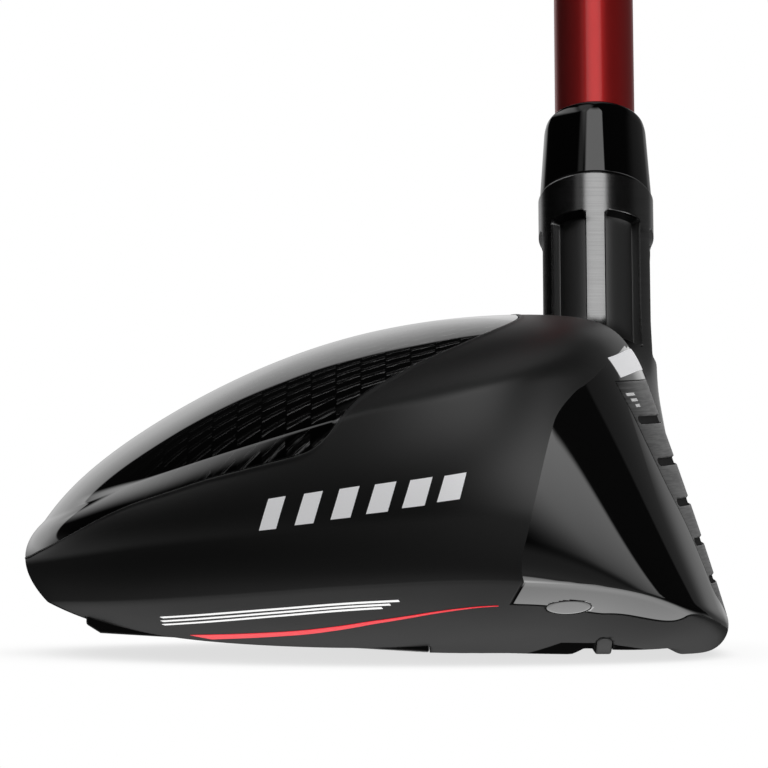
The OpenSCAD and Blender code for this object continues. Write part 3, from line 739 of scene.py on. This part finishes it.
def build_head():
    u = shell_columns()
    start = seam(u)
    # Outside, from the small lip along the seam down the wall and under the sole.
    lip = np.array([0, 0.003, 0.007, 0.012, 0.018])[:, None]
    lip_height = np.array([0.0, 0.05, 0.065, 0.05, 0.015])[:, None]
    first = start + 0.026
    wall = first + (2 - first) * np.linspace(0, 1, 60 * DENSE)[:, None]
    sole = 2 + np.concatenate([np.linspace(0.004, 0.24, 36), np.linspace(0.24, 0.985, 36)[1:]])
    v = np.concatenate([start + lip, wall, np.repeat(sole[:, None], len(u), 1)])
    outer = skin(u, v)
    outer[:len(lip)] = lifted(u, v[:len(lip)], lip_height)
    outer[..., 2] += np.where(v > 2, channel_depth(outer[..., 0], outer[..., 1]), 0)
    outer = blend_head(outer.reshape(-1, 3), SKIN_TREE).reshape(outer.shape)
    # The ledge under the panel, then the inside of the wall and of the sole.
    ledge = [
        lifted(u, start, -0.12), lifted(u, start - 0.001, -PANEL - 0.2), lifted(u, start * 0.88, -PANEL - 0.2),
        lifted(u, start * 0.88, -PANEL - 1.2), lifted(u, np.maximum(1.35, start + 0.12), -WALL),
    ]
    inner = [lifted(u, k, -WALL) for k in (1.6, 1.8, 1.92)]
    inner += [lifted(u, k, -SOLE_WALL) for k in (2.12, 2.3, 2.6, 2.85)]
    obj = closed_rings("head_shell", np.concatenate([outer[::-1], ledge + inner]), 42)
    paint_attributes(obj, np.broadcast_to(u, v.shape).ravel(), v[::-1].ravel())
    return obj


def build_panel():
    u = shell_columns()
    edge = seam(u) - 0.006
    crease = np.minimum(edge - 0.02, 1)
    crown = np.concatenate([np.linspace(0.02, 0.9, 50 * DENSE), np.linspace(0.9, 1, 24)[1:]])[:, None]
    rim = np.linspace(0, 1, 30)[1:, None]
    top = skin(u, np.concatenate([crease * crown, crease + (edge - crease) * rim]))
    roll = [lifted(u, edge + 0.0015, -0.03), lifted(u, edge + 0.003, -0.12), lifted(u, edge + 0.003, -PANEL)]
    under = [lifted(u, edge * k, -PANEL) for k in (0.97, 0.8, 0.5, 0.2)]
    return closed_rings("crown_panel_visual", np.concatenate([top, roll + under]), 42)


def build_hosel():
    """Hosel whose foot swells out to meet the skin of the head."""
    phi = full_turn(180 * DENSE)
    s = np.linspace(26, HOSEL_TOP - 0.25, 190 * DENSE)
    grid_s, grid_phi = np.meshgrid(s, phi, indexing="ij")
    r = hosel_radius(grid_s, grid_phi)
    points = along_shaft(grid_s, r, grid_phi)
    low = grid_s < 46
    axis, base = along_shaft(grid_s[low], 0, 0), r[low]
    side = (points[low] - axis) / base[:, None]
    p, reach = points[low], base
    for _ in range(8):
        above, _ = signed_distance(SKIN_TREE, p)
        reach = np.clip(reach - 0.7 * blended(reach - base, above), base - 0.5, base + 2.6)
        p = axis + reach[:, None] * side
    points[low] = p
    mouth = ((0.08, COLLAR_R - 0.07), (0, COLLAR_R - 0.25), (0, 5.0), (1, 4.82))
    top = [along_shaft(HOSEL_TOP - down, radius, phi) for down, radius in mouth]
    obj = closed_rings("hosel", np.concatenate([points, top]), 32)
    depth = np.zeros(len(obj.data.vertices))
    depth[:r.size] = 1 - ((r - FLUTE_R) / (hosel_radius(grid_s, 0) - FLUTE_R)).ravel()
    put_values(obj, "flute", depth)
    return obj


def face_place(across, height):
    """(u, v) of a point on the face, from its share across and its height."""
    def border(table):
        blur = np.linspace(-0.9, 0.9, 5)
        return sum(np.interp(height + b, table[:, 0], table[:, 1]) for b in blur) / len(blur)

    low = border(FACE_HEEL)
    u = low + (border(FACE_TOE) - low) * across
    s = station(u)
    return u, 1 + np.clip((s[..., 2] - height) / (s[..., 2] - s[..., 8]), 0.02, 0.98)


def face_grid(columns, rows):
    return np.meshgrid(np.linspace(0, 1, columns), np.linspace(FACE_HIGH, FACE_LOW, rows))


def face_cutter():
    u, v = face_place(*face_grid(60, 165 * DENSE))
    return mesh_object("face_cutter", *patch(lifted(u, v, 1.2), lifted(u, v, -0.75)), 40)


def score_depth(points):
    """Depth of the score lines at points of the face: straight slots with round ends."""
    depth = np.zeros(points.shape[:2])
    for z in SCORE_Z:
        ends = [skin(*face_place(np.array(a), np.array(z)))[0] for a in (0.045, 0.955)]
        past = np.maximum(np.maximum(points[..., 0] - ends[0], ends[1] - points[..., 0]), 0)
        off = np.hypot(0.35 * past, points[..., 2] - z)
        depth = np.maximum(depth, SCORE_DEPTH * (1 - smoothstep(off, SCORE_W / 2 - 0.12, SCORE_W / 2 + 0.06)))
    return depth


def build_face():
    across, height = face_grid(110 * DENSE, 165 * DENSE)
    u, v = face_place(across, height)
    margin = np.minimum(np.minimum(across, 1 - across) * 60, np.minimum(FACE_HIGH - height, height - FACE_LOW))
    roll = -0.10 * (1 - smoothstep(margin, 0, 0.25))
    depth = score_depth(skin(u, v))
    obj = mesh_object("face_plate_visual", *patch(lifted(u, v, roll - depth), lifted(u, v, -0.74)), 40)
    put_values(obj, "score", np.concatenate([depth.ravel() / SCORE_DEPTH, np.zeros(depth.size)]))
    return obj


# Keel plate, slot insert and toe plug; the plug's centre is a place on the skin.
KEEL_FRONT, KEEL_BACK, KEEL_SLOPE, KEEL_T = 11.4, 49.6, 0.0587, 1.6
SLOT_LEN, SLOT_W, SLOT_Y = 50.0, 1.8, -7.9
PLUG_U, PLUG_V, PLUG_R = 3.34, 2.15, 2.45


def keel_bottom(x, y):
    """Underside of the keel: it rises to the back and a little to both sides, and turns up at its end."""
    turned_up = 0.9 * np.clip((y - KEEL_BACK + 1.6) / 1.6, 0, 1)
    return 0.1 + (y - KEEL_FRONT) * KEEL_SLOPE + 0.0015 * x**2 + turned_up


def keel_solid(name, grow, low, thick):
    between = np.linspace(KEEL_FRONT + 1, KEEL_BACK - 1.6, 30)
    y = np.concatenate([[KEEL_FRONT - grow], between, [KEEL_BACK + grow]])
    half = np.interp(y, [KEEL_FRONT, KEEL_BACK], [17, 7.5]) + grow
    x = half[:, None] * np.linspace(-1, 1, 25)
    y = np.broadcast_to(y[:, None], x.shape)
    z = keel_bottom(x, y)
    return mesh_object(name, *patch(np.stack([x, y, z + thick], -1), np.stack([x, y, z + low], -1)), 30)


def rocker(x):
    """Height of the sole over the ground, from heel to toe."""
    return 0.0088 * np.maximum(np.abs(x) - 9, 0)**2


def slot_solid(name, grow, low, high):
    """Bar in the slot, narrower at both ends; low is how far it lies above the rocker of the sole."""
    x = np.linspace(-1, 1, 61) * (SLOT_LEN / 2 + grow)
    near_end = np.clip(SLOT_W - SLOT_LEN / 2 + np.abs(x), 0, SLOT_W)
    y = SLOT_Y + np.array([-1, 1])[:, None] * (SLOT_W / 2 + grow - 0.25 * near_end)
    x = np.broadcast_to(x, y.shape)
    top = np.stack([x, y, np.full(x.shape, high)], -1)
    return mesh_object(name, *patch(top, np.stack([x, y, np.maximum(rocker(x), 0.15) + low], -1)), 30)


def plug_frame():
    """Centre, axis and two directions across the toe plug."""
    normal = skin_normal(PLUG_U, PLUG_V)
    side = np.cross(normal, [0, 1.0, 0])
    side /= np.linalg.norm(side)
    return skin(PLUG_U, PLUG_V), normal, side, np.cross(normal, side)


def plug_rings(profile):
    centre, normal, a, b = plug_frame()
    turn = full_turn(96)[:, None]
    return np.array([centre + normal * h + r * (np.cos(turn) * a + np.sin(turn) * b) for r, h in profile])


def cut(obj, cutters):
    """Cuts the closed cutters out of obj and removes them."""
    for cutter in cutters:
        change = obj.modifiers.new("cut", "BOOLEAN")
        change.operation, change.solver, change.object = "DIFFERENCE", "MANIFOLD", cutter
    bpy.context.view_layer.update()
    evaluated = obj.evaluated_get(bpy.context.evaluated_depsgraph_get())
    mesh = bpy.data.meshes.new_from_object(evaluated)
    obj.modifiers.clear()
    obj.data = mesh
    for cutter in cutters:
        bpy.data.objects.remove(cutter)
    shade(mesh, 42)
    return obj


def build_cut_head():
    keel = keel_solid("keel_cutter", 0.12, -2.5, KEEL_T + 0.05)
    slot = slot_solid("slot_cutter", 0.06, -2.5, 4.0)
    plug = closed_rings("plug_cutter", plug_rings([(PLUG_R + 0.07, -3.0), (PLUG_R + 0.07, 1.0)]), 40)
    return cut(build_head(), [face_cutter(), keel, slot, plug])


def build_plug():
    rounding = ((0, -2.9), (0, -0.14), (0.05, -0.03), (0.16, 0.0), (0.5, 0.01))
    return closed_rings("toe_plug_visual", plug_rings([(PLUG_R - inset, h) for inset, h in rounding]), 50)


def bevelled(obj, width):
    change = obj.modifiers.new("bevel", "BEVEL")
    change.width, change.segments, change.limit_method = width * MM, 3, "ANGLE"
    change.angle_limit = math.radians(30)
    return obj


def build_keel():
    return bevelled(keel_solid("keel_plate_visual", 0, 0, KEEL_T), 0.2)


def build_slot():
    return bevelled(slot_solid("slot_insert_visual", 0, 0, 3.8), 0.25)


def quad_uv(corners, nu, nv):
    """Grid of (u, v) between four corners: low start, low end, high end, high start."""
    p00, p10, p11, p01 = (np.array(c, float) for c in corners)
    a, b = np.meshgrid(np.linspace(0, 1, nu), np.linspace(0, 1, nv))
    a, b = a[..., None], b[..., None]
    q = (1 - b) * (p00 + (p10 - p00) * a) + b * (p01 + (p11 - p01) * a)
    return q[..., 0], q[..., 1]


def build_strip():
    grid = quad_uv([(-1.4, 1.012), (1.94, 1.012), (1.82, 1.088), (-1.4, 1.088)], 160, 16)
    return skin_patches("topline_strip_visual", [grid], 0.05)


def build_side_graphic():
    """Leaning bars that get narrower and lower towards the back."""
    bars = []
    lean = 0.075
    for k in range(6):
        left, right = 3.93 + 0.305 * k, 4.13 + 0.293 * k
        top, low = 1.3 - 0.004 * k, 1.41 + 0.008 * k
        bars.append(quad_uv([(left, top), (right, top), (right + lean, low), (left + lean, low)], 10, 24))
    return skin_patches("side_graphic_visual", bars, 0.04)


def build_sole_graphic():
    lines = []
    for k in range(3):
        a, b, low = 4.75 + 0.1 * k, 7.1 + 0.1 * k, 2.085 + 0.022 * k
        lines.append(quad_uv([(a, low + 0.015), (b, low), (b, low + 0.008), (a, low + 0.027)], 90, 5))
    return skin_patches("sole_graphic_visual", lines, 0.04)


# Middle line of the sole's stripe, as places on the skin.
STRIPE = np.array([[3.95, 2.155], [4.4, 2.195], [4.9, 2.245], [5.6, 2.28], [6.2, 2.29], [7.5, 2.25]])


def build_stripe():
    u = np.linspace(3.93, 7.45, 140)
    middle = sum(np.interp(u + b, STRIPE[:, 0], STRIPE[:, 1]) for b in (-0.15, 0, 0.15)) / 3
    v = middle + (0.004 + 0.0145 * (u - u[0])) * np.linspace(-0.5, 0.5, 8)[:, None]
    return skin_patches("sole_stripe_visual", [(np.broadcast_to(u, v.shape), v)], 0.04)


def build_marks():
    bars = []
    for k in range(3):
        high = 29.5 - 0.6 * k
        across, height = np.meshgrid(np.linspace(0.9, 0.97 - 0.015 * k, 8), np.linspace(high, high - 0.3, 4))
        bars.append(face_place(across, height))
    return skin_patches("face_marks_visual", bars, 0.015)


# ---- ferrule, shaft and grip
SHAFT_TOP = CLUB_LEN - CAP_T
TIP_LOW = HOSEL_TOP - BORE_DEPTH + 0.3
TIP_TOP = HOSEL_TOP - BORE_DEPTH + TIP_LEN
GRIP_LOW = SHAFT_TOP - GRIP_LEN
# Radii of the grip at its mouth, at the end of its even taper and at its butt; its grooves from the mouth.
GRIP_MOUTH_R, GRIP_TAPER_R, GRIP_BUTT_R, TAPER_END = 8.7, 11.5, 13.2, 212.0
GROOVES = [12, 18, 70, 128, 186]


def shaft_radius(s):
    return TIP_R + (BUTT_R - TIP_R) * np.clip((s - TIP_TOP) / (SHAFT_TOP - TIP_TOP), 0, 1)


def build_ferrule():
    low, top, bore = HOSEL_TOP + 0.07, HOSEL_TOP + FERRULE_LEN, TIP_R + 0.02
    outline = [(low, bore), (low, 6.4), (low + 0.1, 6.56)]
    outline += [(top - 1.6, 5.98), (top - 0.55, 5.72), (top, 4.98), (top, bore)]
    return lathe("ferrule_visual", rounded(outline, 0.6, 9), 220, 40)


def build_shaft():
    top, bore = SHAFT_TOP - 0.4, TIP_R - 1.5
    outline = [(TIP_LOW, bore), (TIP_LOW, TIP_R - 0.3), (TIP_LOW + 0.6, TIP_R), (HOSEL_TOP, TIP_R)]
    outline += [(s, shaft_radius(s)) for s in np.linspace(TIP_TOP, top, 60)]
    outline += [(top, shaft_radius(top) - 1), (TIP_TOP, bore)]
    return lathe("shaft_visual", outline, 220, 30)


def paint_rings(name, outlines):
    """Thin rings of paint round the shaft's axis, each from a closed outline of (s, r) pairs."""
    parts = [tube(along_shaft(*np.array(outline).T[:, :, None], full_turn(160))) for outline in outlines]
    return mesh_object(name, *joined(parts), 50)


def build_bands():
    outlines = []
    for start, width in ((640, 12), (657, 3), (664, 3)):
        section = [(0, -0.02), (0, 0.05), (0.15, 0.09), (width - 0.15, 0.09), (width, 0.05), (width, -0.02)]
        outlines.append([(start + s, shaft_radius(start + s) + h) for s, h in section])
    return paint_rings("shaft_bands_visual", outlines)


def grip_radius(s):
    flare = np.clip((s - TAPER_END) / (GRIP_LEN - TAPER_END), 0, 1)
    taper = GRIP_MOUTH_R + (GRIP_TAPER_R - GRIP_MOUTH_R) * np.minimum(s, TAPER_END) / TAPER_END
    return taper + (GRIP_BUTT_R - GRIP_TAPER_R) * flare**1.6


def grip_relief(s, phi):
    """Cut depth of the ring grooves and the cross-hatch between them."""
    to_groove = np.min([np.abs(s - g - 0.8) for g in GROOVES], axis=0)
    ring = 0.6 * (1 - smoothstep(to_groove, 0.45, 0.8))
    twist = phi * 14 / (2 * math.pi)
    one, two = (np.abs(np.mod(s * 0.16 + turned, 1) - 0.5) for turned in (twist, -twist))
    hatch = 0.28 * (1 - smoothstep(np.minimum(one, two), 0.03, 0.13))
    field = smoothstep(to_groove, 1.6, 3.0) * smoothstep(s, 20, 24) * smoothstep(-s, -250, -244)
    return np.maximum(ring, hatch * field)


def build_grip():
    s = np.concatenate([[0.4, 0.8], np.linspace(1.4, GRIP_LEN, 450 * DENSE)])[:, None]
    phi = full_turn(120 * DENSE)
    mouth = 0.25 * (s < 0.5) + 0.06 * ((s > 0.5) & (s < 1))
    outer = along_shaft(GRIP_LOW + s, grip_radius(s) - mouth - grip_relief(s, phi), phi)
    low = [along_shaft(GRIP_LOW, r, phi) for r in (shaft_radius(GRIP_LOW) + 0.28, GRIP_MOUTH_R - 0.9)]
    top = [along_shaft(SHAFT_TOP, BUTT_R + 0.28, phi)]
    return mesh_object("grip_visual", *tube(np.concatenate([low, outer, top])), 40)


def build_cap():
    """Domed cap with a small recess round its vent hole."""
    r, vent = GRIP_BUTT_R, 1.6
    outline = [(0.02, vent), (0.02, r - 0.3), (0.5, r), (1.5, r), (2.9, r - 0.8), (3.7, r - 3), (4, r - 6)]
    outline += [(4, 2.6), (3.85, 2.4), (3.85, 1.9), (4, vent)]
    outline = [(SHAFT_TOP + s, radius) for s, radius in outline]
    return lathe("grip_cap_visual", rounded(outline, 0.7, 6), 160, 40)


def build_grip_marks():
    outlines = []
    for g in GROOVES[:2]:
        low, high, floor = GRIP_LOW + g + 0.45, GRIP_LOW + g + 1.15, grip_radius(g) - 0.6
        section = [(low, -0.1), (low, 0.18), (low + 0.1, 0.24), (high - 0.1, 0.24), (high, 0.18), (high, -0.1)]
        outlines.append([(s, floor + h) for s, h in section])
    return paint_rings("grip_marks_visual", outlines)


# ---- pieces: shape, finish, slot and CAD node
# Each graphic's last number is how strongly it glows: painted brightness, not lamp light.
silver = printed("silver_foil", (0.62, 0.62, 0.63, 1), 0.38, 0.3, 0.6)
white = printed("white_paint", (0.9, 0.9, 0.9, 1), 0.45, 0.0, 0.85)
red = printed("red_paint", (0.85, 0.006, 0.022, 1), 0.45, 0.0, 0.8)
etched = printed("etched_white", (0.5, 0.5, 0.5, 1), 0.5, 0.0, 0.35)
rubber = grip_rubber()

PIECES = [
    (build_cut_head, satin_and_gloss(), "head_steel", "head_body"),
    (build_hosel, hosel_steel(), "head_steel", "head_body"),
    (build_panel, carbon(), "carbon_gloss", "crown_panel"),
    (build_face, face_steel(), "face_steel", "face_plate"),
    (build_plug, black_gloss("plug_gloss", 0.004, 0.03), "black_plastic", "toe_plug"),
    (build_keel, black_gloss("black_plastic", 0.012, 0.3, 0.2), "keel_black", "keel_plate"),
    (build_slot, slot_rubber(), "black_plastic", "slot_insert"),
    (build_strip, silver, "silver_paint", "topline_strip"),
    (build_side_graphic, silver, "silver_paint", "side_graphic"),
    (build_sole_graphic, white, "white_paint", "sole_graphic"),
    (build_stripe, red, "red_paint", "sole_stripe"),
    (build_marks, etched, "white_paint", "face_marks"),
    (build_ferrule, black_gloss("ferrule_gloss", 0.002, 0.02), "ferrule_gloss", "ferrule"),
    (build_shaft, candy_red(), "shaft_red", "shaft"),
    (build_bands, silver, "silver_paint", "shaft_bands"),
    (build_grip, rubber, "grip_rubber", "grip"),
    (build_cap, rubber, "grip_rubber", "grip_cap"),
    (build_grip_marks, red, "red_paint", "grip_marks"),
]
for build, finish, slot, node in PIECES:
    piece = build()
    piece.data.materials.clear()
    piece.data.materials.append(finish)
    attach(piece, "root")
    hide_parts(node)

# Pieces inside the club keep their CAD shape.
INSIDE = {
    "crown_adhesive": printed("cured_adhesive", (0.7, 0.62, 0.42, 1), 0.5),
    "hot_melt": printed("hot_melt_resin", (0.75, 0.5, 0.16, 1), 0.3),
    "tip_epoxy": printed("tip_resin", (0.66, 0.58, 0.38, 1), 0.35),
    "grip_tape": printed("woven_tape", (0.78, 0.74, 0.62, 1), 0.8),
    "rear_weight": tungsten(),
    "tip_weight": printed("turned_brass", (0.72, 0.5, 0.2, 1), 0.3, 1.0),
}
for name, finish in INSIDE.items():
    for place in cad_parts[name].material_slots:
        place.material = finish


# ---- studio
def studio_world():
    """Soft lamps of a studio, each a patch of the sky; the camera itself sees plain white.

    Azimuth and elevation are in degrees. Azimuth 0 is the camera's side, and it grows towards the face.
    """
    world = bpy.data.worlds.new("studio")
    bpy.context.scene.world = world
    g = Graph(world)
    x, y, z = g.axes(g.node("ShaderNodeTexCoord").outputs["Generated"])
    el = g.math("DEGREES", g.math("ARCSINE", z))
    az = g.math("DEGREES", g.math("ARCTAN2", g.times(y, -1.0), g.times(x, -1.0)))
    away = g.math("ABSOLUTE", az)

    def band(value, low, high, soft_low, soft_high):
        return g.band(value, low - soft_low, low + soft_low, high - soft_high, high + soft_high)

    # Each lamp is its strength and the bands that bound it.
    lamps = {
        "key": (3.2, band(az, -42, 35, 4, 2), g.edge(g.scaled(az, 0.25, el), 43, 49), band(el, 20, 78, 3, 6)),
        "strip": (0.4, band(az, -64, -50, 4, 3), band(el, 44, 70, 3, 6)),
        "side": (
            g.scaled(el, 0.045, 2.7), band(g.scaled(el, 0.65, az), 45, 90, 22, 1.5), band(el, -44, 29, 8, 7),
        ),
        "backdrop": (
            g.math("MINIMUM", g.scaled(el, -0.044, 1.25), 0.85), g.scaled(band(az, 100, 168, 1, 4), -0.7, 1.0),
            g.edge(away, 138, 158), band(el, 0, 30, 4, 2), band(g.scaled(away, -0.32, el), -90, -37.4, 2, 0.4),
        ),
        "front grey": (0.13, g.edge(g.scaled(el, 1.1, az), 131, 134), band(el, -30, 34, 10, 8)),
        "ground": (1.5, g.edge(away, 140, 166), band(el, -51, -16, 2, 5)),
        "rear top": (
            1.7, g.edge(g.scaled(az, -0.55, el), 99, 106), band(g.scaled(el, -1.1, az), -175.4, -120, 0.8, 10),
            band(el, 12, 60, 3, 6),
        ),
        "left high": (0.9, band(az, -110, -42, 8, 4), band(el, 64, 85, 3, 5)),
        "over rear": (0.5, g.edge(away, 150, 164), band(el, 45, 85, 5, 5)),
        "floor fill": (0.25, g.edge(el, -40, -62)),
        "left low": (0.25, band(az, -150, -40, 12, 20), band(el, -80, 6, 10, 8)),
    }
    total = 0.006
    for lamp in lamps.values():
        total = g.math("ADD", g.times(*lamp), total)
    lit = g.node("ShaderNodeBackground", Strength=total)
    white = g.node("ShaderNodeBackground", Strength=1.0, Color=grey(1.0))
    seen = g.node("ShaderNodeLightPath").outputs["Is Camera Ray"]
    g.node("ShaderNodeOutputWorld", Surface=g.layered(seen, lit.outputs[0], white.outputs[0]))


def pale_floor():
    """Floor that glows white, with a soft contact shadow painted in where the club rests on it."""
    size, drop = 60.0, -0.0001
    mesh = bpy.data.meshes.new("floor")
    corners = [(x * size, y * size, drop) for x, y in ((-1, -1), (1, -1), (1, 1), (-1, 1))]
    mesh.from_pydata(corners, [], [(0, 1, 2, 3)])
    floor = bpy.data.objects.new("floor", mesh)
    bpy.context.scene.collection.objects.link(floor)
    g = material("floor_white")
    shade = g.node("ShaderNodeAmbientOcclusion", {"samples": 8}, Distance=0.03)
    # Where the occlusion is high the glow dims to grey: the painted contact shadow.
    tone = g.mix(g.edge(shade.outputs["AO"], 0.0, 0.9), grey(0.72), grey(1.0))
    shader = g.node("ShaderNodeEmission", Color=tone)
    g.node("ShaderNodeOutputMaterial", Surface=shader.outputs[0])
    mesh.materials.append(g.owner)
    for kind in ("visible_diffuse", "visible_glossy", "visible_transmission", "visible_shadow"):
        setattr(floor, kind, False)


def camera():
    """Long lens, level with the head and square to its toe."""
    data = bpy.data.cameras.new("camera")
    made = bpy.data.objects.new("camera", data)
    bpy.context.scene.collection.objects.link(made)
    distance, width = 1.2, 0.08617
    elevation = math.radians(0.25)
    target = Vector((0, 0.0164, 0.03008))
    away = Vector((-math.cos(elevation), 0, math.sin(elevation)))
    data.sensor_width = 36
    data.lens = data.sensor_width * distance / width
    data.clip_start = 0.05
    data.clip_end = 100
    made.location = target + away * distance
    made.rotation_euler = (-away).to_track_quat("-Z", "Y").to_euler()
    bpy.context.scene.camera = made


studio_world()
pale_floor()
camera()
bpy.context.scene.view_settings.view_transform = "Standard"
